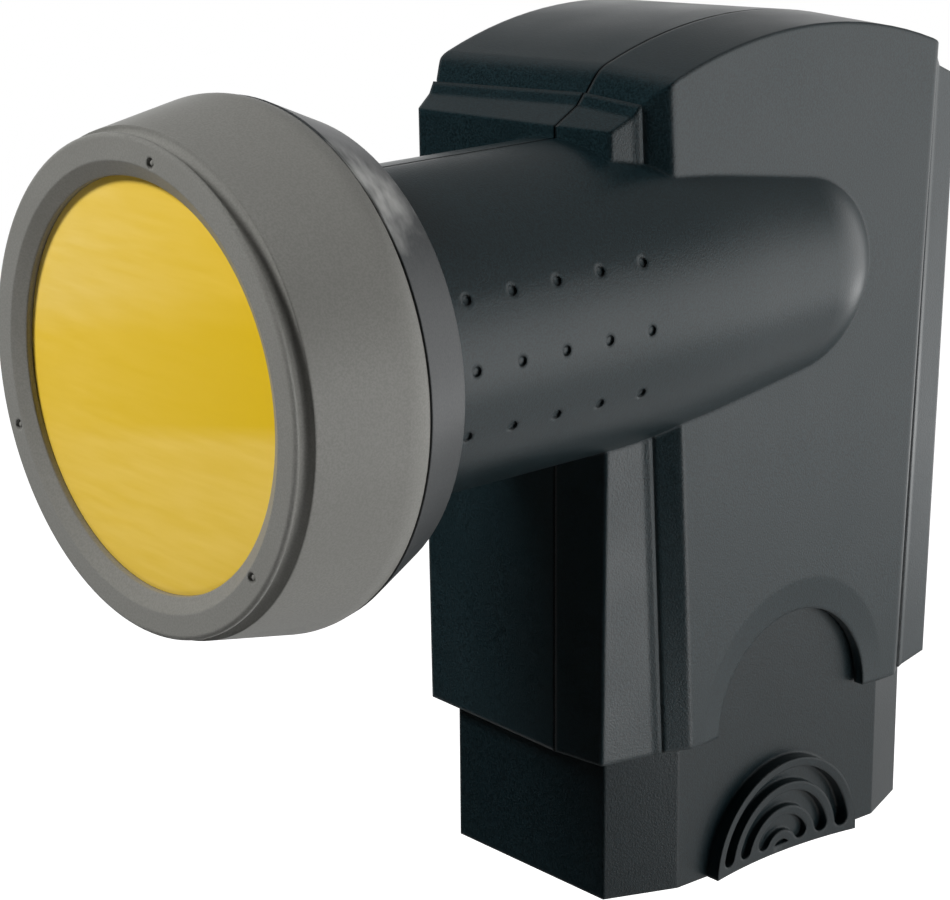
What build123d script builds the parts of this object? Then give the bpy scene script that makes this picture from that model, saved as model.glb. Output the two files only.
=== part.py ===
from build123d import *
import os
from math import asin, cos, degrees, radians, sin, tan

# Satellite LNB for a 40 mm clamp. Millimetres, +Z up, horn pointing to -Y.
# The origin is the middle of the neck, on the horn axis. The housing halves part at X = 0.

# Neck, the round that a standard dish clamp grips
neck_diameter = 40.0
neck_length = 39.0
neck_wall = 2.0
dot_diameter = 1.3
dot_depth = 0.35
dot_rows = 3
dot_columns = 5
dot_pitch = 6.9
dot_row_angle = 23.5
dot_last_y = 16.4

# Housing outline, seen from above, at its bottom edge
body_length = 66.0
body_right = 11.4
body_left = 28.6
nose_corner_right = 7.7
nose_corner_left = 25.6
nose_draft = 0.9
tail_setback = 0.8
tail_taper = 0.8
edge_back = 12.3
groove_step = 2.4
ledge_step = 3.9
groove_inset = 1.5
ledge_inset = 2.0
slot_width = 0.5
slot_depth = 0.7
side_lean_right = 0.6
side_lean_left = 0.85
step_lean_right = 0.0
step_lean_left = 0.85
front_taper = 3.2
rear_taper = 2.1
front_edge_run = 1.4
rear_edge_run = 0.0
nose_round = 0.4
edge_round = 1.6

# Housing outline, seen from the side, along the parting seam
body_depth = 60.4
nose_top = 21.4
ledge_top = 23.55
groove_top = 25.0
edge_top = 27.6
body_apex = 32.2
roof_fall_right = 0.5
roof_fall_left = 1.3
shoulder_fall_left = 1.5
step_fall_left = 1.8
roof_spread = 2.0
roof_round = 5.0
roof_wall = 2.2
side_wall_right = 1.9
side_wall_left = 2.5
nose_wall = 3.2
seam_gap = 0.16

# Rounded bulge that the horn's rear end makes in the right side
bulge_straight = 9.5
bulge_cone_length = 23.5
bulge_cone_angle = 6.4
bulge_blend = 160.0
bulge_dome_radius = 20.4

# Weather shield, drawn in its lowered place
slide_gap = 0.3
shield_wall = 1.6
shield_drop = 20.3
shield_hold = 19.8
shield_edge_back = 1.3
shield_tail_gap = 1.0
shield_slope = 1.1
lug_width = 8.0
lug_height = 3.0
lug_reach = 0.9
lug_x = -9.0
lug_gap = 0.3
travel_stop = 0.1
travel_spare = 0.6

# Finger grip on the shield and the arch that takes it in the housing
grip_radius = 13.75
grip_rise = 2.0
grip_dish = 1.3
grip_arch_gap = 0.45
arch_shift = 0.3
arch_bevel_width = 3.0
arch_bevel_depth = 0.4
arch_bevel_spread = 2.0
ridge_count = 4
ridge_pitch = 3.55
ridge_width = 1.3
grip_bar = 1.1

# Feed cap, film and collar, turned about the horn axis, with radii stepped in from the crown
crown_radius = 30.9
crown_rear = 30.2
cap_front = 43.6
cap_rear = 27.15
cap_wall = 3.6
rim_step = 0.4
rim_bulge = 0.25
flank_front = 41.4
flank_step = 2.0
cove_depth = 1.2
bezel_step = 2.5
bezel_width = 3.0
bezel_round = 0.5
lip_front = 42.55
lip_width = 1.8
lip_thickness = 0.8
film_front = 41.75
film_thickness = 0.5
film_gap = 0.65
socket_wall = 2.1
cap_fit_gap = 0.2
pip_inset = 2.2
pip_angle = 80.2
pip_count = 3
pip_pocket_radius = 0.65
pip_pocket_depth = 0.5
pip_radius = 0.4
collar_step = 0.3
collar_taper = 3.2
collar_wall = 2.5
collar_spigot_length = 5.0
collar_spigot_wall = 1.7
neck_flange_room = 2.2
neck_flange_thickness = 2.2
seal_cord = 2.0
seal_gap = 0.15

# Die-cast chassis: feed horn, waveguide and electronics tray
waveguide_radius = 8.75
waveguide_wall = 2.75
waveguide_length = 35.5
waveguide_back = 3.0
horn_throat = 12.0
horn_lip = 1.15
horn_wall = 2.0
horn_flange_thickness = 2.5
locating_gap = 0.1
locating_length = 4.0
tray_wall = 2.2
tray_floor = 2.5
tray_depth = 7.5
tray_end_gap = 8.0
tray_top = 17.0
plate_depth = 57.0
plate_thickness = 3.0
tray_floor_x = -9.5
lid_thickness = 1.5
gasket_thickness = 0.5
lid_screw_diameter = 2.5
lid_screw_head = 4.6
lid_screw_length = 6.0
lid_screw_rows = 3
lid_boss_diameter = 5.6
rib_width = 2.0
rib_gap = 0.1

# Circuit board and what it carries
board_thickness = 1.6
board_gap = 0.4
board_seat = 0.05
part_seat = 0.02
probe_diameter = 1.2
probe_bush_diameter = 4.0
probe_straight_back = 16.5
probe_bent_back = 27.5
probe_depth = 6.2
probe_bend_radius = 1.2
probe_solder = 1.0
fit_gap = 0.1

# Components as (width, height, thickness), with places from the body's middle as (y, z)
transistor_size = (2.0, 1.4, 0.9)
transistor_places = [(-11.5, 4.0), (-11.5, -4.0), (-0.5, 4.0), (-0.5, -4.0)]
converter_size = (5.0, 5.0, 0.9)
converter_places = [(-10.0, -14.0), (6.0, -14.0)]
switch_size = (7.0, 7.0, 0.9)
switch_place = (-2.0, -28.0)
crystal_size = (3.2, 2.5, 0.8)
crystal_place = (12.0, -22.0)
regulator_size = (6.5, 6.0, 2.3)
regulator_place = (10.0, -34.0)
choke_size = (3.0, 3.0, 2.4)
choke_spread = 0.75
choke_rise = 9.0

# F connectors, a row of four along the tray
connector_count = 4
connector_end_margin = 5.2
connector_thread_diameter = 9.4
connector_thread_length = 11.4
connector_flange_diameter = 10.8
connector_flange_thickness = 1.6
connector_spigot_diameter = 7.8
connector_bore_diameter = 6.2
connector_lead = 0.6
contact_diameter = 1.4
contact_hole_diameter = 0.9
contact_hole_depth = 6.0
contact_recess = 1.2
contact_tail = 4.0
insulator_recess = 0.5

# How far a cutting tool runs past the face that it cuts
past = 1.0

# Places worked out from the sizes above
neck_radius = neck_diameter / 2
neck_bore = neck_radius - neck_wall
nose_y = neck_length / 2
body_half = body_length / 2
body_mid = nose_y + body_half
edge_half = body_half - edge_back
bottom = -body_depth
shield_bottom = bottom - shield_drop
shield_top = bottom + shield_hold
inset_right = side_wall_right + slide_gap
inset_left = side_wall_left + slide_gap
shield_right = body_right - inset_right
shield_left = body_left - inset_left
shield_front_half = body_half - nose_wall - slide_gap
shield_rear_half = shield_front_half - shield_tail_gap
arch_radius = grip_radius + grip_arch_gap
board_x = tray_floor_x - tray_floor - board_seat
board_face_x = board_x - board_thickness
tray_left_x = tray_floor_x - tray_floor - tray_depth
lid_x = tray_left_x - gasket_thickness
tray_half = body_half - tray_end_gap
connector_z = -plate_depth
plate_top = connector_z + plate_thickness
connector_end = connector_z - connector_flange_thickness - connector_thread_length
connector_x = board_face_x - contact_diameter / 2 - fit_gap
rim_radius = crown_radius - rim_step
flank_radius = crown_radius - flank_step
bezel_radius = crown_radius - bezel_step
bezel_inner_radius = bezel_radius - bezel_width
lip_radius = bezel_inner_radius - lip_width
film_radius = lip_radius - film_gap
pip_circle_radius = bezel_radius - pip_inset
cap_bore_radius = crown_radius - cap_wall
cap_spigot_radius = rim_radius - socket_wall
collar_front_radius = crown_radius - collar_step
collar_rear_radius = collar_front_radius - collar_taper
collar_inner_radius = cap_spigot_radius - cap_fit_gap - collar_spigot_wall
neck_flange_radius = collar_inner_radius - neck_flange_room
horn_mouth_radius = film_radius - horn_lip
horn_flange_radius = cap_bore_radius - cap_fit_gap
waveguide_end = nose_y + waveguide_length
probe_straight_y = nose_y + probe_straight_back
probe_bent_y = nose_y + probe_bent_back
choke_z = plate_top + choke_rise
connector_pitch = 2 * (tray_half - connector_end_margin) / (connector_count - 1)
reach = 2 * body_length


def flat(points):
    """Closed face in the XY plane through the given corners."""
    return make_face(Polyline(*points, close=True))


def turned(face):
    """Solid of revolution about the horn axis, from a face drawn as (radius, y)."""
    return revolve(face, Axis.Y)


def ring(y_front, y_rear, outer, inner=0):
    """Plain ring or disc about the horn axis."""
    return turned(flat([(inner, y_front), (outer, y_front), (outer, y_rear), (inner, y_rear)]))


def block(x0, x1, y0, y1, z0, z1):
    """Box between two corners."""
    place = Location(((x0 + x1) / 2, (y0 + y1) / 2, (z0 + z1) / 2))
    return place * Box(abs(x1 - x0), abs(y1 - y0), abs(z1 - z0))


def rod_x(radius, x0, x1, y, z):
    """Round bar along X."""
    return Location(((x0 + x1) / 2, y, z), (0, 90, 0)) * Cylinder(radius, abs(x1 - x0))


def rod_z(radius, z0, z1, x, y):
    """Round bar along Z."""
    return Location((x, y, (z0 + z1) / 2)) * Cylinder(radius, abs(z1 - z0))


# Housing form


def end_stations(z, taper, edge_run):
    """Distances from the body's middle to its edge, groove and ledge lines at height z."""
    grown = edge_half + (z + body_depth) * tan(radians(taper))
    edge = grown - edge_run * (edge_top - z) / (edge_top + body_depth)
    return edge, grown + groove_step, grown + ledge_step


def softened(face, corners, radius):
    """Face with the vertices nearest the given corners rounded."""
    vertices = [face.vertices().sort_by_distance((x, y, 0))[0] for x, y in corners]
    return fillet(vertices, radius)


def half_plan(side, nose_corner, side_lean, step_lean, z):
    """Plan of the right half of a body at height z, from nose face to tail face."""
    rise = z + body_depth
    lean = rise * tan(radians(side_lean))
    step = side + rise * tan(radians(step_lean))
    tail_half = body_half - tail_setback + rise * tan(radians(tail_taper))
    corners = []
    nose_corners = []
    edge_corners = []
    ends = ((body_half, front_taper, front_edge_run, -1), (tail_half, rear_taper, rear_edge_run, 1))
    for end_half, taper, edge_run, way in ends:
        edge, groove, ledge = end_stations(z, taper, edge_run)
        line = [
            (0, end_half),
            (nose_corner + lean, end_half - nose_draft),
            (step - ledge_inset, ledge),
            (step - groove_inset, groove + slot_width / 2),
            (step - groove_inset - slot_depth, groove),
            (step - groove_inset, groove - slot_width / 2),
            (side + lean, edge),
        ]
        placed = [(x, body_mid + way * y) for x, y in line]
        corners += placed[::-way]
        nose_corners.append(placed[1])
        edge_corners.append(placed[-1])
    face = softened(flat(corners), nose_corners, nose_round)
    return Location((0, 0, z)) * softened(face, edge_corners, edge_round)


def half_walls(side, nose_corner, side_lean, step_lean):
    """Upright walls of a right half, leaning and tapering with height."""
    plans = [half_plan(side, nose_corner, side_lean, step_lean, z) for z in (bottom, body_apex)]
    return loft(plans, ruled=True)


def roof_face(x, roof_fall, shoulder_fall, step_fall, drop):
    """Side view of everything under the roof line at x, with its lines fallen from the seam's."""
    fall = step_fall + drop
    ends = []
    for taper, edge_run, way in ((front_taper, front_edge_run, -1), (rear_taper, rear_edge_run, 1)):
        groove = end_stations(groove_top, taper, edge_run)[1]
        line = [
            (way * reach, nose_top - fall),
            (way * body_half, nose_top - fall),
            (way * end_stations(ledge_top, taper, edge_run)[2], ledge_top - fall),
            (way * (groove + slot_width / 2), groove_top - fall),
            (way * groove, groove_top - slot_depth - fall),
            (way * (groove - slot_width / 2), groove_top - fall),
            (way * end_stations(edge_top, taper, edge_run)[0], edge_top - shoulder_fall - drop),
        ]
        ends.append([(body_mid + y, z) for y, z in line])
    front, rear = ends[0], ends[1][::-1]
    crown = (body_mid, body_apex - roof_fall - drop)
    outline = Polyline((body_mid - reach, -reach), *front)
    outline += ThreePointArc(front[-1], crown, rear[0])
    outline += Polyline(*rear, (body_mid + reach, -reach), (body_mid - reach, -reach))
    return Plane.YZ.offset(x) * softened(make_face(outline), [front[-1], rear[0]], roof_round)


def roof(drop):
    """Space under the roof, falling from the seam to both sides."""
    right_x = roof_spread * (body_right + body_depth * tan(radians(side_lean_right)))
    left_x = roof_spread * (body_left + body_depth * tan(radians(side_lean_left)))
    right_falls = [roof_spread * roof_fall_right] * 3
    left_falls = [roof_spread * fall for fall in (roof_fall_left, shoulder_fall_left, step_fall_left)]
    left = roof_face(-left_x, *left_falls, drop)
    seam = roof_face(0, 0, 0, 0, drop)
    right = roof_face(right_x, *right_falls, drop)
    return loft([left, seam, right], ruled=True)


def bulge(inset):
    """Neck and the rounded bulge behind it as one turned form, made smaller by inset."""
    cone_start = nose_y + bulge_straight
    cone_end = cone_start + bulge_cone_length
    slope = radians(bulge_cone_angle)
    end_radius = neck_radius - bulge_cone_length * tan(slope)
    centre_y = cone_end - bulge_dome_radius * sin(slope)
    centre_r = end_radius - bulge_dome_radius * cos(slope)
    dome = bulge_dome_radius - inset
    top = asin(-centre_r / dome)
    middle = (top + radians(90) - slope) / 2
    shift = inset * tan(slope / 2)

    def on_dome(angle):
        return centre_r + dome * sin(angle), centre_y + dome * cos(angle)

    start = (0, -nose_y - collar_wall - neck_flange_thickness)
    outer = neck_radius - inset
    profile = Polyline((0, on_dome(top)[1]), start, (outer, start[1]), (outer, cone_start - shift),
                       on_dome(radians(90) - slope))
    profile += ThreePointArc(on_dome(radians(90) - slope), on_dome(middle), on_dome(top))
    return turned(softened(make_face(profile), [(outer, cone_start - shift)], bulge_blend - inset))


def shield_plan(grow):
    """Plan of the sleeve at its outer face, grown or shrunk all round."""
    side_half = edge_half - shield_edge_back
    corners = []
    for end_half, way in ((shield_front_half, -1), (shield_rear_half, 1)):
        line = [
            (-shield_left, side_half),
            (inset_left - nose_corner_left, end_half),
            (nose_corner_right - inset_right, end_half),
            (shield_right, side_half),
        ]
        corners += [(x, body_mid + way * y) for x, y in line[::-way]]
    face = flat(corners)
    return offset(face, grow, kind=Kind.INTERSECTION) if grow else face


def upright(face, z0, z1):
    """Plan face raised from z0 to z1."""
    return extrude(Location((0, 0, z0)) * face, amount=z1 - z0, dir=(0, 0, 1))


def lugs(grow, z0, z1):
    """Stop lugs on the front and rear of the sleeve, or the grooves that they run in."""
    x0 = lug_x - lug_width / 2 - grow
    x1 = lug_x + lug_width / 2 + grow
    root = shield_wall / 2
    tip = lug_reach + grow
    front = body_mid - shield_front_half
    rear = body_mid + shield_rear_half
    return block(x0, x1, front - tip, front + root, z0, z1) + block(x0, x1, rear - root, rear + tip, z0, z1)


def arch():
    """Half-round opening for the grip, with the shallow bevel around it."""
    middle = body_mid + arch_shift
    opening = rod_x(arch_radius, shield_right, reach, middle, bottom)
    height = arch_bevel_spread * arch_bevel_depth
    outer = arch_radius + arch_bevel_spread * arch_bevel_width
    bevel_x = body_right - arch_bevel_depth + height / 2
    return opening + Location((bevel_x, middle, bottom), (0, 90, 0)) * Cone(arch_radius, outer, height)


def housing():
    """Both halves of the housing, before they are parted."""
    right = half_walls(body_right, nose_corner_right, side_lean_right, step_lean_right)
    left_walls = half_walls(body_left, nose_corner_left, side_lean_left, step_lean_left)
    left = mirror(left_walls, about=Plane.YZ)
    flange_front = -nose_y - collar_wall - neck_flange_thickness
    flange = ring(flange_front, flange_front + neck_flange_thickness, neck_flange_radius)
    form = ((right + left) & roof(0)) + bulge(0) + flange
    cavity = upright(shield_plan(slide_gap), bottom - past, body_apex)
    hollow = (cavity & roof(roof_wall)) + bulge(neck_wall)
    groove_low = shield_top - lug_height - travel_stop
    groove_high = shield_top + shield_drop + travel_spare
    return form - hollow - arch() - lugs(lug_gap, groove_low, groove_high)


def neck_dots():
    """Shallow round setting marks on the right side of the neck."""
    marks = []
    for row in range(dot_rows):
        angle = (row - (dot_rows - 1) / 2) * dot_row_angle
        for column in range(dot_columns):
            y = dot_last_y - column * dot_pitch
            mark = Location((neck_radius, y, 0), (0, 90, 0)) * Cylinder(dot_diameter / 2, 2 * dot_depth)
            marks.append(mark.rotate(Axis.Y, angle))
    return marks


def lid_ribs():
    """Ribs inside the left half that bear on the chassis lid, above the sleeve's travel."""
    low = shield_top + shield_drop + travel_spare
    outer = -(body_left - side_wall_left / 2)
    inner = lid_x - lid_thickness - rib_gap
    ribs = []
    for y in (body_mid - tray_half / 2, body_mid + tray_half / 2):
        ribs.append(block(outer, inner, y - rib_width / 2, y + rib_width / 2, low, tray_top))
    return ribs


def housing_right(whole):
    """Right half: neck half, horn bulge, setting dots and grip arch."""
    keep = block(0, reach, -reach, 2 * reach, -reach, reach)
    return (whole & keep) - neck_dots()


def housing_left(whole):
    """Left half, with the ribs that hold the chassis."""
    keep = block(-reach, -seam_gap, -reach, 2 * reach, -reach, reach)
    return (whole & keep) + lid_ribs()


# Weather shield


def shield_edge(y):
    """Height of the sleeve's bottom edge, which falls a little to the rear."""
    return shield_bottom - (y - body_mid + shield_front_half) * tan(radians(shield_slope))


def grip():
    """Dished half-round finger grip with concentric ridges."""
    centre = (shield_right, body_mid, shield_edge(body_mid))
    along = (0, cos(radians(shield_slope)), -sin(radians(shield_slope)))
    plane = Plane(centre, x_dir=along, z_dir=(1, 0, 0))
    half_disc = make_face(
        Line((-grip_radius, 0), (grip_radius, 0))
        + ThreePointArc((grip_radius, 0), (0, grip_radius), (-grip_radius, 0))
    )
    pad = extrude(plane * half_disc, amount=grip_rise)
    dish_radius = (grip_radius**2 + grip_dish**2) / (2 * grip_dish)
    pad -= plane * Location((0, 0, grip_rise - grip_dish + dish_radius)) * Sphere(dish_radius)
    groove = ridge_pitch - ridge_width
    for ring_number in range(ridge_count - 1):
        mid_radius = grip_radius - ridge_width - groove / 2 - ring_number * ridge_pitch
        start = degrees(asin((grip_bar + groove / 2) / mid_radius))
        arc = CenterArc((0, 0), mid_radius, start, 180 - 2 * start)
        pad -= extrude(plane * SlotArc(arc, groove), amount=grip_rise)
    eye = grip_radius - ridge_width - (ridge_count - 1) * ridge_pitch
    pocket = Circle(eye) & Location((0, grip_bar + eye)) * Rectangle(2 * eye, 2 * eye)
    return pad - extrude(plane * pocket, amount=grip_rise)


def weather_shield():
    """Sleeve open at both ends that slides up into the housing."""
    low = shield_bottom - shield_hold
    sleeve = upright(shield_plan(0), low, shield_top)
    sleeve -= upright(shield_plan(-shield_wall), low - past, shield_top + past)
    ends = (body_mid - reach, body_mid + reach)
    below = flat([(y, shield_edge(y)) for y in ends] + [(y, -reach) for y in reversed(ends)])
    sleeve -= extrude(Plane.YZ * below, amount=reach, both=True)
    return sleeve + lugs(0, shield_top - lug_height, shield_top) + grip()


# Cap, film, collar and seal


def feed_cap():
    """Moulded cap: sloped lip, bezel, concave band, flaring flank and collar socket."""
    shoulder = bezel_radius - bezel_round
    shoulder_rear = -cap_front + bezel_round
    slant = bezel_round * cos(radians(45))
    lip_rear = -lip_front + lip_thickness
    seat = seal_inner_radius() + cap_fit_gap
    step = -seal_front() - seal_gap
    socket_front = -(cap_rear + collar_spigot_length + cap_fit_gap)
    cove = (flank_radius - cove_depth, (shoulder_rear - flank_front) / 2)
    rim_mid = ((crown_radius + rim_radius) / 2 + rim_bulge, -(crown_rear + cap_rear) / 2)
    profile = Polyline((lip_radius, lip_rear), (lip_radius, -lip_front), (bezel_inner_radius, -cap_front),
                       (shoulder, -cap_front))
    profile += ThreePointArc((shoulder, -cap_front), (shoulder + slant, shoulder_rear - slant),
                             (bezel_radius, shoulder_rear))
    profile += ThreePointArc((bezel_radius, shoulder_rear), cove, (flank_radius, -flank_front))
    profile += Line((flank_radius, -flank_front), (crown_radius, -crown_rear))
    profile += ThreePointArc((crown_radius, -crown_rear), rim_mid, (rim_radius, -cap_rear))
    profile += Polyline((rim_radius, -cap_rear), (cap_spigot_radius, -cap_rear),
                        (cap_spigot_radius, socket_front), (cap_bore_radius, socket_front),
                        (cap_bore_radius, step), (seat, step), (seat, lip_rear), (lip_radius, lip_rear))
    cap = turned(make_face(profile))
    for number in range(pip_count):
        angle = radians(pip_angle + number * 360 / pip_count)
        place = (pip_circle_radius * cos(angle), -cap_front, pip_circle_radius * sin(angle))
        cap -= Location(place, (90, 0, 0)) * Cylinder(pip_pocket_radius, 2 * pip_pocket_depth)
        cap += Location(place) * Location((0, pip_pocket_depth, 0)) * Sphere(pip_radius)
    return cap


def window_film():
    """Thin window held in the cap."""
    return ring(-film_front, -film_front + film_thickness, film_radius)


def cap_collar():
    """Tapered ring on the neck that the cap clips to."""
    front = cap_rear - cap_fit_gap
    rear = nose_y
    spigot = cap_spigot_radius - cap_fit_gap
    spigot_front = front + collar_spigot_length
    bore = neck_radius + fit_gap
    return turned(flat([
        (bore, -rear), (collar_rear_radius, -rear), (collar_front_radius, -front),
        (spigot, -front), (spigot, -spigot_front), (collar_inner_radius, -spigot_front),
        (collar_inner_radius, -rear - collar_wall), (bore, -rear - collar_wall),
    ]))


def horn_front():
    """Distance from the origin to the horn's mouth, just behind the film."""
    return film_front - film_thickness - fit_gap


def seal_front():
    """Distance from the origin to the front of the seal's cord."""
    return horn_front() - lip_thickness


def seal_inner_radius():
    """Radius of the horn's spigot inside the seal."""
    return cap_bore_radius - 2 * seal_gap - seal_cord


def cap_seal():
    """O-ring in the corner between cap and horn flange."""
    radius = cap_bore_radius - seal_gap - seal_cord / 2
    section = Location((radius, -seal_front() + seal_cord / 2)) * Circle(seal_cord / 2)
    return turned(section)


# Chassis


def horn():
    """Feed horn and waveguide, outside and inside, about the horn axis."""
    mouth = horn_front()
    spigot = seal_inner_radius()
    flange_front = seal_front() - seal_cord - seal_gap
    flange_rear = flange_front - horn_flange_thickness
    flare = (horn_mouth_radius - waveguide_radius) / (mouth - horn_throat)
    outer = waveguide_radius + waveguide_wall
    flare_outer = waveguide_radius + horn_wall + flare * (flange_rear - horn_throat)
    throat_outer = horn_throat + (outer - waveguide_radius - horn_wall) / flare
    solid = turned(flat([
        (0, -mouth), (spigot, -mouth), (spigot, -flange_front), (horn_flange_radius, -flange_front),
        (horn_flange_radius, -flange_rear), (flare_outer, -flange_rear), (outer, -throat_outer),
        (outer, waveguide_end + waveguide_back), (0, waveguide_end + waveguide_back),
    ]))
    locator = neck_bore - locating_gap
    solid += ring(-nose_y, -nose_y + locating_length, locator)
    solid += ring(nose_y - locating_length, nose_y, locator)
    inside = turned(flat([
        (0, -mouth - past), (horn_mouth_radius + past * flare, -mouth - past),
        (waveguide_radius, -horn_throat), (waveguide_radius, waveguide_end), (0, waveguide_end),
    ]))
    return solid, inside


def screw_places():
    """Lid screws along the two upright walls of the tray."""
    low = plate_top + contact_tail + lid_boss_diameter
    high = tray_top - lid_boss_diameter / 2
    step = (high - low) / (lid_screw_rows - 1)
    inset = tray_half - lid_boss_diameter / 2
    sides = (body_mid - inset, body_mid + inset)
    return [(y, low + row * step) for row in range(lid_screw_rows) for y in sides]


def connector_places():
    """Y of each connector along the row."""
    first = body_mid - connector_pitch * (connector_count - 1) / 2
    return [first + number * connector_pitch for number in range(connector_count)]


def chassis():
    """Casting: horn, waveguide and the open tray that carries the board."""
    solid, inside = horn()
    y0 = body_mid - tray_half
    y1 = body_mid + tray_half
    pocket_x = tray_floor_x - tray_floor
    pocket_top = tray_top - tray_wall
    low = plate_top + part_seat
    tray = block(tray_left_x, tray_floor_x, y0, y1, low, tray_top)
    tray -= block(tray_left_x - past, pocket_x, y0 + tray_wall, y1 - tray_wall, low - past, pocket_top)
    for y, z in screw_places():
        tray += rod_x(lid_boss_diameter / 2, tray_left_x, pocket_x, y, z)
    body = solid + tray - inside
    for y, z in screw_places():
        tip = lid_x - lid_thickness + lid_screw_length + fit_gap
        body -= rod_x(lid_screw_diameter / 2 + fit_gap, tray_left_x - past, tip, y, z)
    for y in (probe_straight_y, probe_bent_y):
        body -= rod_x(probe_bush_diameter / 2 + fit_gap, pocket_x - past, 0, y, 0)
    return body


def connector_plate():
    """Plate that closes the tray and the housing below, with a hole for each connector."""
    plate = upright(shield_plan(-shield_wall - slide_gap), connector_z, plate_top)
    hole = connector_spigot_diameter / 2 + fit_gap
    for y in connector_places():
        plate -= rod_z(hole, connector_z - past, plate_top + past, connector_x, y)
    return plate


def tray_cover(x0, thickness, hole):
    """Flat plate of the tray's outline with a hole at each screw."""
    low = plate_top + part_seat
    plate = block(x0, x0 - thickness, body_mid - tray_half, body_mid + tray_half, low, tray_top)
    for y, z in screw_places():
        plate -= rod_x(hole / 2, x0 + past, x0 - thickness - past, y, z)
    return plate


def screw_head(y, z, grow):
    """Countersunk head, flush with the lid."""
    outer = lid_screw_head / 2 + grow
    shank = lid_screw_diameter / 2 + grow
    return Location((lid_x - lid_thickness / 2, y, z), (0, 90, 0)) * Cone(outer, shank, lid_thickness)


def lid_gasket():
    """Sealing frame between tray and lid."""
    frame = tray_cover(tray_left_x, gasket_thickness, lid_screw_diameter + 2 * fit_gap)
    half = tray_half - lid_boss_diameter
    high = tray_top - tray_wall
    opening = block(tray_left_x + past, lid_x - past, body_mid - half, body_mid + half, plate_top, high)
    return frame - opening


def chassis_lid():
    """Flat cover of the electronics tray with countersunk holes."""
    lid = tray_cover(lid_x, lid_thickness, lid_screw_diameter)
    for y, z in screw_places():
        lid -= screw_head(y, z, fit_gap)
    return lid


def lid_screws():
    """Countersunk screws, all in one group."""
    screws = []
    for y, z in screw_places():
        tip = lid_x - lid_thickness + lid_screw_length
        screws.append(screw_head(y, z, 0) + rod_x(lid_screw_diameter / 2, lid_x, tip, y, z))
    return Compound(screws)


# Board, probes and electronics


def board_box():
    """Board edges: y0, y1, z0, z1, clear of the tray walls."""
    half = tray_half - lid_boss_diameter - board_gap
    low = plate_top + board_gap
    return body_mid - half, body_mid + half, low, tray_top - tray_wall - board_gap


def circuit_board():
    """Board that lies on the tray floor, with holes for the probes."""
    board = block(board_x, board_face_x, *board_box())
    for y in (probe_straight_y, probe_bent_y):
        board -= rod_x(probe_diameter / 2 + fit_gap, board_x + past, board_face_x - past, y, 0)
    return board


def probe_straight():
    """Straight pin from the board into the waveguide."""
    tip = -waveguide_radius + probe_depth
    return rod_x(probe_diameter / 2, board_face_x - probe_solder, tip, probe_straight_y, 0)


def probe_bent():
    """Pin that turns upright on the waveguide axis."""
    start = (board_face_x - probe_solder, probe_bent_y, 0)
    bend = (0, probe_bent_y, 0)
    tip = (0, probe_bent_y, probe_depth)
    path = FilletPolyline(start, bend, tip, radius=probe_bend_radius)
    section = Plane(path @ 0, z_dir=path % 0) * Circle(probe_diameter / 2)
    return sweep(section, path=path)


def probe_bushes():
    """Insulating bushes of both probes, all in one group."""
    bushes = []
    for y in (probe_straight_y, probe_bent_y):
        bush = rod_x(probe_bush_diameter / 2, board_x + fit_gap, -waveguide_radius, y, 0)
        bushes.append(bush - rod_x(probe_diameter / 2 + fit_gap, board_x - past, 0, y, 0))
    return Compound(bushes)


def isolation_rod():
    """Rod across the waveguide between the probes."""
    y = (probe_straight_y + probe_bent_y) / 2
    half = waveguide_radius - fit_gap
    return rod_x(probe_diameter / 2, -half, half, y, 0)


def chip(size, place):
    """One flat component on the board's face."""
    width, height, thickness = size
    y, z = place
    x = board_face_x - part_seat - thickness / 2
    return Location((x, body_mid + y, z)) * Box(thickness, width, height)


def chips(size, places):
    """Components of one kind, all in one group."""
    return Compound([chip(size, place) for place in places])


# Connectors


def f_connector(y):
    """Threaded connector body with flange, spigot and bore."""
    thread = connector_thread_diameter / 2
    flange = connector_flange_diameter / 2
    spigot = connector_spigot_diameter / 2
    bore = connector_bore_diameter / 2
    under = connector_z - connector_flange_thickness
    section = flat([
        (bore, connector_end), (thread - connector_lead, connector_end),
        (thread, connector_end + connector_lead), (thread, under), (flange, under), (flange, connector_z),
        (spigot, connector_z), (spigot, plate_top), (bore, plate_top),
    ])
    return Location((connector_x, y, 0)) * revolve(Plane.XZ * section, Axis.Z)


def f_insulator(y):
    """Insulator in the connector's bore."""
    radius = connector_bore_diameter / 2 - fit_gap
    hole = contact_diameter / 2 + fit_gap
    body = rod_z(radius, connector_end + insulator_recess, plate_top, connector_x, y)
    return body - rod_z(hole, connector_end - past, plate_top + past, connector_x, y)


def f_contact(y):
    """Spring contact with a tail that lies on the board."""
    low = connector_end + insulator_recess + contact_recess
    pin = rod_z(contact_diameter / 2, low, plate_top + contact_tail, connector_x, y)
    return pin - rod_z(contact_hole_diameter / 2, low - past, low + contact_hole_depth, connector_x, y)


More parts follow.
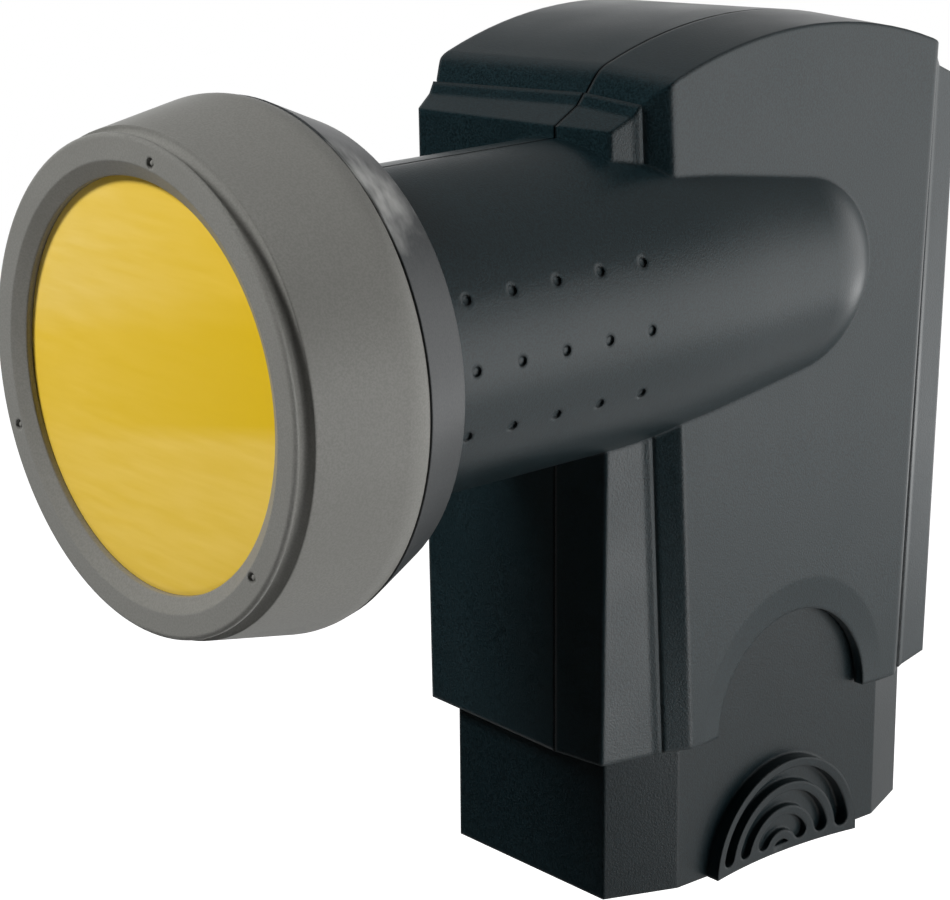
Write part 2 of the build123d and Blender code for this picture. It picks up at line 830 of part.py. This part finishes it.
def all_parts():
    """Every node by name."""
    whole = housing()
    rows = connector_places()
    parts = {
        "housing_right": housing_right(whole),
        "housing_left": housing_left(whole),
        "weather_shield": weather_shield(),
        "feed_cap": feed_cap(),
        "window_film": window_film(),
        "cap_collar": cap_collar(),
        "cap_seal": cap_seal(),
        "chassis": chassis(),
        "connector_plate": connector_plate(),
        "lid_gasket": lid_gasket(),
        "chassis_lid": chassis_lid(),
        "lid_screws": lid_screws(),
        "circuit_board": circuit_board(),
        "probe_straight": probe_straight(),
        "probe_bent": probe_bent(),
        "probe_bushes": probe_bushes(),
        "isolation_rod": isolation_rod(),
        "lna_transistors": chips(transistor_size, transistor_places),
        "converter_chips": chips(converter_size, converter_places),
        "switch_chip": chip(switch_size, switch_place),
        "reference_crystal": chip(crystal_size, crystal_place),
        "regulator": chip(regulator_size, regulator_place),
        "chokes": chips(choke_size, [(choke_spread * (y - body_mid), choke_z) for y in rows]),
    }
    for number, y in enumerate(rows, start=1):
        parts[f"f_connector_{number}"] = f_connector(y)
        parts[f"f_insulator_{number}"] = f_insulator(y)
        parts[f"f_contact_{number}"] = f_contact(y)
    return parts


os.makedirs("parts", exist_ok=True)
for name, solid in all_parts().items():
    export_step(solid, f"parts/{name}.step")
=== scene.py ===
import math
import bpy
from mathutils import Matrix, Vector

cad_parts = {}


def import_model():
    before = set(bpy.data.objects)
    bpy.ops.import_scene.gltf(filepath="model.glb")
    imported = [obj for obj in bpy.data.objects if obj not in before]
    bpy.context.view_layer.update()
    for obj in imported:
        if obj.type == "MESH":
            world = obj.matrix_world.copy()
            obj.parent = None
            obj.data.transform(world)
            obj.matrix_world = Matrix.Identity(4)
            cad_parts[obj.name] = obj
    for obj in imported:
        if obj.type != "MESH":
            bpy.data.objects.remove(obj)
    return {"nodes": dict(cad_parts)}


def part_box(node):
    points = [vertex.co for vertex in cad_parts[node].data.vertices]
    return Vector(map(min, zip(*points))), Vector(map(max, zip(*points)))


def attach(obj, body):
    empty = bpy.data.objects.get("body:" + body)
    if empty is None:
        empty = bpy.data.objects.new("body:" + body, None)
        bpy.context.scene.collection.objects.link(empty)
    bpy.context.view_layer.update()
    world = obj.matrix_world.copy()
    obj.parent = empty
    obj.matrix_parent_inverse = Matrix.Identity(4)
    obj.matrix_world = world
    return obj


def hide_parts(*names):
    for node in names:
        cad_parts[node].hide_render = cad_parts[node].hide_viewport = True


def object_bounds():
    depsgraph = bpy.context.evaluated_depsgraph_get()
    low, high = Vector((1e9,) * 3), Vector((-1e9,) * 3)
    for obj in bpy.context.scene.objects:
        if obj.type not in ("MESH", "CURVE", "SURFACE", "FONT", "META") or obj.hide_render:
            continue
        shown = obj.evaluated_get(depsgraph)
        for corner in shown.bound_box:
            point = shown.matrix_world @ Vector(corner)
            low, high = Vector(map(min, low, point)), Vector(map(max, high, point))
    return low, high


# Satellite LNB: finishes, window film, connector threads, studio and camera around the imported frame. Metres.
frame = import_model()
cad_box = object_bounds()
nodes = frame["nodes"]

# Camera, fitted to the photograph's frame
IMAGE_WIDTH = 950
IMAGE_HEIGHT = 900
FOCAL_LENGTH_PX = 2802.3
OPTICAL_CENTRE_PX = (381.5, 465.9)
CAMERA_PLACE = (0.24695, -0.2123, 0.08027)
CAMERA_YAW = math.radians(50.513)
CAMERA_PITCH = math.radians(16.721)
CAMERA_ROLL = math.radians(1.036)
SENSOR_WIDTH = 36.0

# Connector thread, 3/8 inch with 32 turns to the inch
THREAD_PITCH = 0.0254 / 32
THREAD_DEPTH = 0.00042
THREAD_STEPS = 6
THREAD_SIDES = 48
CONNECTOR_BORE = 0.0031
CONNECTOR_SPIGOT = 0.0039
FLANGE_THICKNESS = 0.0016
FLANGE_EDGE = 0.0007
FLANGE_ROUND = 0.0002
LEAD = 0.0006
PLATE_THICKNESS = 0.003

# Window film, clamped behind the cap's lip
FILM_OVERLAP = 0.0012
FILM_BOW = 0.0004
FILM_EASE = 0.00001
FILM_ROUND = 0.00015
FILM_SIDES = 128
FILM_SHARES = (0.05, 0.25, 0.45, 0.62, 0.76, 0.88, 0.96)

# The film's painted light: where the gold turns deeper across as painted shade, and where the paler bands of
# painted reflection begin and end
FILM_REFLECTION_SLOPE = (-0.187, 0.0, 1.0)
FILM_PAINTED_SHADE_ACROSS = (-0.014, 0.02)
FILM_UPPER_REFLECTION = (0.006, 0.0105)
FILM_LOWER_REFLECTION = (-0.0062, -0.004)

# Patch of pressed ripples on the collar, their crests painted pale as a painted highlight
PAINTED_HIGHLIGHT_PLACE = (0.0195, -0.0265, 0.022)
PAINTED_HIGHLIGHT_INSIDE = 0.002
PAINTED_HIGHLIGHT_OUTSIDE = 0.011

# Moulded surface: flow clouds and eroded specks, as noise scales and relief heights
CLOUD_SCALE = 90.0
CLOUD_HEIGHT = 0.0004
CLOUD_STRENGTH = 0.05
SPECK_SCALE = 4200.0
SPECK_HEIGHT = 0.00007

# Dark mouldings: colours, softened edges, and the half width of the parting seam
HOUSING_COLOUR = (0.008, 0.0175, 0.021)
SHIELD_COLOUR = (0.005, 0.0115, 0.014)
HOUSING_EDGE = 0.0008
SHIELD_EDGE = 0.0006
SEAM_WIDTH = 0.0003

# Lamps aim at the middle of the object
LAMP_TARGET = (0.0, 0.03, -0.02)

# Floor, far enough below for a soft shadow
FLOOR_DROP = 0.12
FLOOR_RADIUS = 0.9
FLOOR_GLOW = 0.4
FLOOR_GLOW_REACH = (0.1, 0.25)

# White backdrop around this bearing, with the dark room ahead of the object and above it
BACKDROP_BEARING = math.radians(96)
BACKDROP_START = -0.055
BACKDROP_FULL = 0.225
SKY_START = 0.05
SKY_END = 0.37
SKY_LEVEL = 0.18
# Painted shadow of the object on the table: mirror rays see the table dimmed within this circle
TABLE_SHADE = (0.0, 0.2, 0.0)
TABLE_NEAR = 0.31
TABLE_FAR = 0.39
TABLE_DIM = 0.43


def shader(name):
    """New node material with its principled shader."""
    material = bpy.data.materials.new(name)
    material.use_nodes = True
    tree = material.node_tree
    return material, tree, tree.nodes["Principled BSDF"]


def add(tree, kind, **inputs):
    """Adds a node and sets its named inputs."""
    node = tree.nodes.new(kind)
    for key, value in inputs.items():
        node.inputs[key.replace("_", " ")].default_value = value
    return node


def object_place(tree, scale=(1, 1, 1)):
    """Place on the object in the row frame, stretched by scale."""
    place = tree.nodes.new("ShaderNodeTexCoord")
    mapping = add(tree, "ShaderNodeMapping", Scale=scale)
    tree.links.new(place.outputs["Object"], mapping.inputs["Vector"])
    return mapping.outputs["Vector"]


def noise(tree, scale, detail=2.0, stretch=(1, 1, 1)):
    """Noise value over the object."""
    texture = add(tree, "ShaderNodeTexNoise", Scale=scale, Detail=detail)
    tree.links.new(object_place(tree, stretch), texture.inputs["Vector"])
    return texture.outputs["Fac"]


def spread(tree, value, low, high, start=0.3, end=0.7):
    """Maps a value between start and end to low and high."""
    node = add(tree, "ShaderNodeMapRange", From_Min=start, From_Max=end, To_Min=low, To_Max=high)
    tree.links.new(value, node.inputs["Value"])
    return node.outputs["Result"]


def blend(tree, factor, first, second):
    """Mixes two colours by a factor."""
    node = tree.nodes.new("ShaderNodeMix")
    node.data_type = "RGBA"
    for socket, colour in (("A", first), ("B", second)):
        place = [s for s in node.inputs if s.name == socket and s.type == "RGBA"][0]
        if isinstance(colour, tuple):
            place.default_value = (*colour, 1)
        else:
            tree.links.new(colour, place)
    tree.links.new(factor, node.inputs["Factor"])
    return [s for s in node.outputs if s.type == "RGBA"][0]


def maths(tree, operation, *values):
    """Result of a maths node on linked values."""
    node = tree.nodes.new("ShaderNodeMath")
    node.operation = operation
    for socket, value in zip(node.inputs, values):
        tree.links.new(value, socket)
    return node.outputs["Value"]


def either(tree, first, second):
    """The larger of two values."""
    return maths(tree, "MAXIMUM", first, second)


def product(tree, first, second):
    """Two values multiplied."""
    return maths(tree, "MULTIPLY", first, second)


def vectors(tree, operation, vector, other=(0, 0, 0)):
    """Vector maths node on a linked vector and a constant one."""
    node = tree.nodes.new("ShaderNodeVectorMath")
    node.operation = operation
    node.inputs[1].default_value = other
    tree.links.new(vector, node.inputs[0])
    return node.outputs


def parts(tree, vector):
    """X, Y and Z of a vector."""
    node = tree.nodes.new("ShaderNodeSeparateXYZ")
    tree.links.new(vector, node.inputs["Vector"])
    return node.outputs


def relief(tree, shade, layers, edge=0.0):
    """Stacks bump layers of (height, strength, distance) over softly rounded edges."""
    normal = None
    if edge:
        rounded = add(tree, "ShaderNodeBevel", Radius=edge)
        rounded.samples = 6
        normal = rounded.outputs["Normal"]
    for height, strength, distance in layers:
        bump = add(tree, "ShaderNodeBump", Strength=strength, Distance=distance)
        tree.links.new(height, bump.inputs["Height"])
        if normal:
            tree.links.new(normal, bump.inputs["Normal"])
        normal = bump.outputs["Normal"]
    tree.links.new(normal, shade.inputs["Normal"])


def shades(colour, depth):
    """Darker and lighter shade of a colour."""
    return tuple(c * (1 - depth) for c in colour), tuple(c * (1 + depth) for c in colour)


def seam_dip(tree):
    """Height that falls towards the parting seam."""
    aside = maths(tree, "ABSOLUTE", parts(tree, object_place(tree))["X"])
    return spread(tree, aside, 0.0, 1.0, 0.0, SEAM_WIDTH)


def moulded(name, colour, roughness, gloss, grain, speckle, edge, seamed=False):
    """Moulded plastic: fine eroded grain, faint flow clouds and softly rounded edges."""
    material, tree, shade = shader(name)
    shade.inputs["Specular IOR Level"].default_value = gloss
    clouds = noise(tree, CLOUD_SCALE, 3.0)
    specks = noise(tree, SPECK_SCALE, 1.0)
    clouded = blend(tree, spread(tree, clouds, 0.0, 1.0), *shades(colour, 0.05))
    pitted = blend(tree, spread(tree, specks, 0.0, 1.0, 0.36, 0.64), *shades(colour, speckle))
    mixed = blend(tree, spread(tree, clouds, 0.5, 0.8), clouded, pitted)
    tree.links.new(mixed, shade.inputs["Base Color"])
    tree.links.new(spread(tree, clouds, roughness - 0.03, roughness + 0.03), shade.inputs["Roughness"])
    layers = [(specks, grain, SPECK_HEIGHT), (clouds, CLOUD_STRENGTH, CLOUD_HEIGHT)]
    if seamed:
        layers.append((seam_dip(tree), 1.0, SEAM_WIDTH))
    relief(tree, shade, layers, edge)
    return material


def paint(node_names, material):
    """Gives CAD nodes their finish."""
    for name in node_names:
        nodes[name].material_slots[0].material = material


def housing_plastic(name, colour, gloss, edge, seamed):
    """Dark grey-green housing plastic."""
    return moulded(name, colour, 0.32, gloss, 0.35, 0.6, edge, seamed)


def cap_plastic():
    """Warm grey satin plastic of the feed cap."""
    return moulded("cap_plastic", (0.226, 0.224, 0.208), 0.42, 0.5, 0.1, 0.12, 0.0004)


def collar_plastic():
    """Dark grey collar, with pressed ripples at its upper right whose crests are painted pale as a painted
    highlight.
    """
    material, tree, shade = shader("collar_plastic")
    ripple = noise(tree, 160.0, 2.0, (0.4, 2.4, 2.6))
    specks = noise(tree, SPECK_SCALE, 1.0)
    # Painted highlight: ripple crests near this place are painted pale; the ripple relief itself is real
    away = vectors(tree, "DISTANCE", object_place(tree), PAINTED_HIGHLIGHT_PLACE)["Value"]
    painted_highlight_patch = spread(tree, away, 1.0, 0.0, PAINTED_HIGHLIGHT_INSIDE, PAINTED_HIGHLIGHT_OUTSIDE)
    ripples_and_highlight = product(tree, ripple, painted_highlight_patch)
    plain = blend(tree, spread(tree, specks, 0.0, 1.0), (0.045, 0.049, 0.051), (0.065, 0.069, 0.071))
    ripples_painted_pale = blend(tree, spread(tree, ripples_and_highlight, 0.0, 1.0, 0.15, 0.75), plain, (0.6, 0.6, 0.58))
    tree.links.new(ripples_painted_pale, shade.inputs["Base Color"])
    shade.inputs["Roughness"].default_value = 0.35
    relief(tree, shade, [(specks, 0.12, 0.00006), (ripples_and_highlight, 0.4, 0.0008)], 0.0004)
    return material


def film():
    """Yellow window film: gold in the middle, deepening towards +X as painted shade, paler in a band above and
    below as painted reflection, with fine drawn lines.
    """
    material, tree, shade = shader("window_film")
    place = object_place(tree)
    # Painted light: the gold deepens across the film as painted shade, and the paler bands above and below are
    # painted reflection
    reflection_slant = vectors(tree, "DOT_PRODUCT", place, FILM_REFLECTION_SLOPE)["Value"]
    across = spread(tree, parts(tree, place)["X"], 0.0, 1.0, *FILM_PAINTED_SHADE_ACROSS)
    above = spread(tree, reflection_slant, 0.0, 1.0, *FILM_UPPER_REFLECTION)
    below = spread(tree, reflection_slant, 1.0, 0.0, *FILM_LOWER_REFLECTION)
    lines = noise(tree, 900.0, 3.0, (0.12, 1.0, 1.0))
    clouds = noise(tree, 60.0, 2.0)
    middle = blend(tree, across, (0.86, 0.585, 0.068), (0.8, 0.525, 0.012))
    upper = blend(tree, across, (0.885, 0.635, 0.15), (0.86, 0.57, 0.04))
    with_painted_reflections = blend(tree, below, blend(tree, above, middle, upper), (0.895, 0.62, 0.105))
    drawn = blend(tree, spread(tree, lines, 0.0, 0.4), with_painted_reflections, (0.78, 0.51, 0.015))
    clouded = blend(tree, spread(tree, clouds, 0.0, 0.06), drawn, (0.9, 0.65, 0.1))
    tree.links.new(clouded, shade.inputs["Base Color"])
    shade.inputs["Roughness"].default_value = 0.38
    relief(tree, shade, [(lines, 0.2, 0.00005), (clouds, 0.08, 0.0006)])
    return material


def metal(name, colour, roughness, grain_scale, stretch, strength):
    """Metal with a cast, rolled or plated grain."""
    material, tree, shade = shader(name)
    grain = noise(tree, grain_scale, 3.0, stretch)
    dull = tuple(c * 0.8 for c in colour)
    tree.links.new(blend(tree, spread(tree, grain, 0.0, 1.0), dull, colour), shade.inputs["Base Color"])
    shade.inputs["Metallic"].default_value = 1.0
    tree.links.new(spread(tree, grain, roughness + 0.08, roughness - 0.05), shade.inputs["Roughness"])
    relief(tree, shade, [(grain, strength, 0.0001)], 0.0002)
    return material


def soft_black(name, colour, roughness):
    """Rubber or chip mould compound."""
    material, tree, shade = shader(name)
    grain = noise(tree, 1800.0, 2.0)
    light = tuple(c * 1.6 for c in colour)
    tree.links.new(blend(tree, spread(tree, grain, 0.0, 1.0), colour, light), shade.inputs["Base Color"])
    shade.inputs["Roughness"].default_value = roughness
    relief(tree, shade, [(grain, 0.2, 0.00005)], 0.0002)
    return material


def solder_mask():
    """Green solder mask with a woven glass pattern under it."""
    material, tree, shade = shader("solder_mask")
    weave = add(tree, "ShaderNodeTexWave", Scale=600.0, Distortion=1.0)
    tree.links.new(object_place(tree), weave.inputs["Vector"])
    woven = blend(tree, weave.outputs["Fac"], (0.012, 0.09, 0.03), (0.02, 0.13, 0.045))
    tree.links.new(woven, shade.inputs["Base Color"])
    shade.inputs["Roughness"].default_value = 0.3
    relief(tree, shade, [(weave.outputs["Fac"], 0.05, 0.00005)])
    return material


def insulator_plastic():
    """White connector insulator."""
    return moulded("insulator_plastic", (0.72, 0.71, 0.67), 0.4, 0.5, 0.05, 0.08, 0.0002)


def ring_mesh(name, rings, sides, capped=False):
    """Mesh of rings, each a function from angle to (radius, height), closed on itself or by caps."""
    points = []
    for ring in rings:
        for side in range(sides):
            angle = 2 * math.pi * side / sides
            radius, height = ring(angle)
            points.append((radius * math.cos(angle), radius * math.sin(angle), height))
    faces = []
    for row in range(len(rings) - capped):
        here, below = row * sides, (row + 1) % len(rings) * sides
        for side in range(sides):
            after = (side + 1) % sides
            faces.append((here + side, below + side, below + after, here + after))
    if capped:
        faces += [tuple(range(sides)), tuple(reversed(range(len(points) - sides, len(points))))]
    mesh = bpy.data.meshes.new(name)
    mesh.from_pydata(points, [], faces)
    mesh.shade_smooth()
    mesh.validate()
    return mesh


def plain_ring(radius, height):
    """Ring of one radius at one height."""
    return lambda angle: (radius, height)


def thread_ring(radius, height):
    """Ring through the thread, where the groove's depth follows the helix."""
    def at(angle):
        turn = (height / THREAD_PITCH + angle / (2 * math.pi)) % 1.0
        return radius - THREAD_DEPTH * (1 - abs(2 * turn - 1)), height
    return at


def threaded_connector(node_name, material):
    """Connector body with a cut thread, in place of its plain node."""
    low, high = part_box(node_name)
    centre = ((low[0] + high[0]) / 2, (low[1] + high[1]) / 2)
    flange = (high[0] - low[0]) / 2
    thread = flange - FLANGE_EDGE
    plate_bottom = high[2] - PLATE_THICKNESS
    under = plate_bottom - FLANGE_THICKNESS
    run_low = low[2] + LEAD
    steps = round((under - run_low) / THREAD_PITCH * THREAD_STEPS)
    rings = [
        plain_ring(CONNECTOR_BORE, high[2]),
        plain_ring(CONNECTOR_SPIGOT, high[2]),
        plain_ring(CONNECTOR_SPIGOT, plate_bottom),
        plain_ring(flange - FLANGE_ROUND, plate_bottom),
        plain_ring(flange, plate_bottom - FLANGE_ROUND),
        plain_ring(flange, under + FLANGE_ROUND),
        plain_ring(flange - FLANGE_ROUND, under),
        plain_ring(thread - THREAD_DEPTH, under),
    ]
    for step in range(1, steps + 1):
        rings.append(thread_ring(thread, under - (under - run_low) * step / steps))
    rings += [
        plain_ring(thread - LEAD, low[2]),
        plain_ring(CONNECTOR_BORE + FLANGE_ROUND, low[2]),
        plain_ring(CONNECTOR_BORE, low[2] + FLANGE_ROUND),
    ]
    piece = bpy.data.objects.new(f"threaded_{node_name}", ring_mesh(node_name, rings, THREAD_SIDES))
    piece.location = (*centre, 0)
    piece.data.materials.append(material)
    bpy.context.collection.objects.link(piece)
    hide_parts(node_name)
    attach(piece, "lnb")


def bowed_film(material):
    """Film clamped behind the cap's lip and bowed a little to the front, in place of its flat node."""
    low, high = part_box("window_film")
    front, back = -low[1], -high[1]
    flat = (high[0] - low[0]) / 2
    edge = flat + FILM_OVERLAP
    rings = [plain_ring(flat * share, front + FILM_BOW * (1 - share ** 2)) for share in FILM_SHARES]
    rings += [
        plain_ring(flat, front - FILM_EASE),
        plain_ring(edge - FILM_ROUND, front - FILM_EASE),
        plain_ring(edge, front - FILM_ROUND),
        plain_ring(edge, back + FILM_ROUND),
        plain_ring(edge - FILM_ROUND, back),
        plain_ring(flat * FILM_SHARES[0], back),
    ]
    mesh = ring_mesh("window_film", rings, FILM_SIDES, capped=True)
    mesh.transform(Matrix.Rotation(math.pi / 2, 4, "X"))
    piece = bpy.data.objects.new("bowed_film", mesh)
    piece.data.materials.append(material)
    bpy.context.collection.objects.link(piece)
    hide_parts("window_film")
    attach(piece, "lnb")


def finishes():
    """Every CAD node's material."""
    for half in ("housing_right", "housing_left"):
        paint([half], housing_plastic(f"{half}_plastic", HOUSING_COLOUR, 1.0, HOUSING_EDGE, True))
    paint(["weather_shield"], housing_plastic("shield_plastic", SHIELD_COLOUR, 0.8, SHIELD_EDGE, False))
    paint(["feed_cap"], cap_plastic())
    window = film()
    paint(["window_film"], window)
    bowed_film(window)
    paint(["cap_collar"], collar_plastic())
    paint(["cap_seal", "lid_gasket"], soft_black("seal_rubber", (0.012, 0.012, 0.012), 0.7))
    paint(["chassis"], metal("cast_metal", (0.6, 0.6, 0.6), 0.5, 500.0, (1, 1, 1), 0.3))
    paint(["connector_plate"], metal("plate_metal", (0.42, 0.42, 0.43), 0.5, 500.0, (1, 1, 1), 0.3))
    paint(["chassis_lid"], metal("sheet_metal", (0.62, 0.62, 0.62), 0.35, 700.0, (1, 1, 0.05), 0.15))
    zinc = metal("zinc", (0.58, 0.58, 0.56), 0.3, 900.0, (1, 1, 1), 0.1)
    paint(["lid_screws", "reference_crystal"], zinc)
    paint(["circuit_board"], solder_mask())
    contacts = [f"f_contact_{number}" for number in range(1, 5)]
    probes = ["probe_straight", "probe_bent", "isolation_rod"]
    paint(probes + contacts, metal("gold_plate", (0.8, 0.62, 0.3), 0.25, 900.0, (1, 1, 1), 0.05))
    insulators = [f"f_insulator_{number}" for number in range(1, 5)]
    paint(["probe_bushes"] + insulators, insulator_plastic())
    chips = ["lna_transistors", "converter_chips", "switch_chip", "regulator", "chokes"]
    paint(chips, soft_black("chip_compound", (0.015, 0.015, 0.016), 0.55))
    nickel = metal("nickel", (0.66, 0.65, 0.62), 0.24, 1200.0, (1, 1, 0.3), 0.06)
    for number in range(1, 5):
        paint([f"f_connector_{number}"], nickel)
        threaded_connector(f"f_connector_{number}", nickel)


def camera():
    """Camera at the photograph's place, with the optical centre where the photograph has it."""
    data = bpy.data.cameras.new("camera")
    data.sensor_fit = "HORIZONTAL"
    data.sensor_width = SENSOR_WIDTH
    data.lens = FOCAL_LENGTH_PX / IMAGE_WIDTH * SENSOR_WIDTH
    data.shift_x = (IMAGE_WIDTH / 2 - OPTICAL_CENTRE_PX[0]) / IMAGE_WIDTH
    data.shift_y = (OPTICAL_CENTRE_PX[1] - IMAGE_HEIGHT / 2) / IMAGE_WIDTH
    data.clip_start = 0.01
    data.clip_end = 20.0
    level = math.cos(CAMERA_PITCH)
    ahead = Vector((-math.sin(CAMERA_YAW) * level, math.cos(CAMERA_YAW) * level, -math.sin(CAMERA_PITCH)))
    across = Vector((math.cos(CAMERA_YAW), math.sin(CAMERA_YAW), 0))
    down = ahead.cross(across)
    right = across * math.cos(CAMERA_ROLL) + down * math.sin(CAMERA_ROLL)
    up = across * math.sin(CAMERA_ROLL) - down * math.cos(CAMERA_ROLL)
    turn = Matrix((right, up, -ahead)).transposed().to_4x4()
    taker = bpy.data.objects.new("camera", data)
    taker.matrix_world = Matrix.Translation(CAMERA_PLACE) @ turn
    bpy.context.collection.objects.link(taker)
    bpy.context.scene.camera = taker


def softbox(name, place, width, height, power, mirrored=True):
    """Soft rectangular lamp aimed at the object, seen in its reflections or not."""
    data = bpy.data.lights.new(name, "AREA")
    data.shape = "RECTANGLE"
    data.size = width
    data.size_y = height
    data.energy = power
    lamp = bpy.data.objects.new(name, data)
    lamp.location = place
    lamp.rotation_euler = (Vector(LAMP_TARGET) - Vector(place)).to_track_quat("-Z", "Y").to_euler()
    lamp.visible_camera = False
    lamp.visible_glossy = mirrored
    bpy.context.collection.objects.link(lamp)


def lamps():
    """Key box above the front left, a large fill behind the right side and two dim low cards."""
    softbox("key_box", (-0.194, -0.386, 0.366), 0.16, 0.16, 3.3, mirrored=False)
    softbox("right_fill", (0.61, 0.31, -0.02), 0.5, 0.5, 4.3, mirrored=False)
    softbox("right_card", (0.317, 0.132, -0.155), 0.08, 0.12, 0.05)
    softbox("rear_card", (-0.03, 0.56, -0.17), 0.12, 0.08, 0.036)


def backdrop(tree, place):
    """How white the set is at a place or direction around the object."""
    level = vectors(tree, "MULTIPLY", place, (1, 1, 0))["Vector"]
    around = vectors(tree, "NORMALIZE", level)["Vector"]
    bearing = (math.cos(BACKDROP_BEARING), math.sin(BACKDROP_BEARING), 0)
    toward = vectors(tree, "DOT_PRODUCT", around, bearing)["Value"]
    return spread(tree, toward, 0.0, 1.0, BACKDROP_START, BACKDROP_FULL)


def floor():
    """Pale floor that keeps the shadow; mirror and glass rays see it white behind the object, dimmed there by
    a painted shadow of the object.
    """
    bpy.ops.mesh.primitive_circle_add(vertices=96, radius=FLOOR_RADIUS, fill_type="NGON")
    ground = bpy.context.object
    ground.name = "floor"
    ground.location = (0, 0, cad_box[0][2] - FLOOR_DROP)
    material, tree, shade = shader("floor")
    path = tree.nodes.new("ShaderNodeLightPath")
    place = object_place(tree)
    shade.inputs["Base Color"].default_value = (0.8, 0.8, 0.8, 1)
    shade.inputs["Roughness"].default_value = 0.9
    shade.inputs["Specular IOR Level"].default_value = 0.0
    shade.inputs["Emission Color"].default_value = (1, 1, 1, 1)
    away = vectors(tree, "LENGTH", place)["Value"]
    glow = spread(tree, away, FLOOR_GLOW, 1.0, *FLOOR_GLOW_REACH)
    tree.links.new(product(tree, path.outputs["Is Camera Ray"], glow), shade.inputs["Emission Strength"])
    mirrored = tree.nodes.new("ShaderNodeEmission")
    # Painted shadow of the object, dimming what mirror rays see of the table
    shaded = vectors(tree, "DISTANCE", place, TABLE_SHADE)["Value"]
    table_under_painted_shadow = spread(tree, shaded, TABLE_DIM, 1.0, TABLE_NEAR, TABLE_FAR)
    tree.links.new(product(tree, table_under_painted_shadow, backdrop(tree, place)), mirrored.inputs["Strength"])
    mix = tree.nodes.new("ShaderNodeMixShader")
    seen = either(tree, path.outputs["Is Glossy Ray"], path.outputs["Is Transmission Ray"])
    tree.links.new(seen, mix.inputs["Fac"])
    tree.links.new(shade.outputs["BSDF"], mix.inputs[1])
    tree.links.new(mirrored.outputs["Emission"], mix.inputs[2])
    tree.links.new(mix.outputs["Shader"], tree.nodes["Material Output"].inputs["Surface"])
    ground.data.materials.append(material)


def world():
    """White for the camera; for mirror and glass rays white low behind the object and dim above."""
    scene_world = bpy.data.worlds.new("studio")
    bpy.context.scene.world = scene_world
    scene_world.use_nodes = True
    tree = scene_world.node_tree
    background = tree.nodes["Background"]
    background.inputs["Color"].default_value = (1, 1, 1, 1)
    path = tree.nodes.new("ShaderNodeLightPath")
    toward = tree.nodes.new("ShaderNodeTexCoord").outputs["Generated"]
    low = spread(tree, parts(tree, toward)["Z"], 1.0, SKY_LEVEL, SKY_START, SKY_END)
    seen = either(tree, path.outputs["Is Glossy Ray"], path.outputs["Is Transmission Ray"])
    mirrored = product(tree, seen, product(tree, low, backdrop(tree, toward)))
    tree.links.new(either(tree, path.outputs["Is Camera Ray"], mirrored), background.inputs["Strength"])


finishes()
camera()
lamps()
floor()
world()
bpy.context.scene.view_settings.view_transform = "Standard"
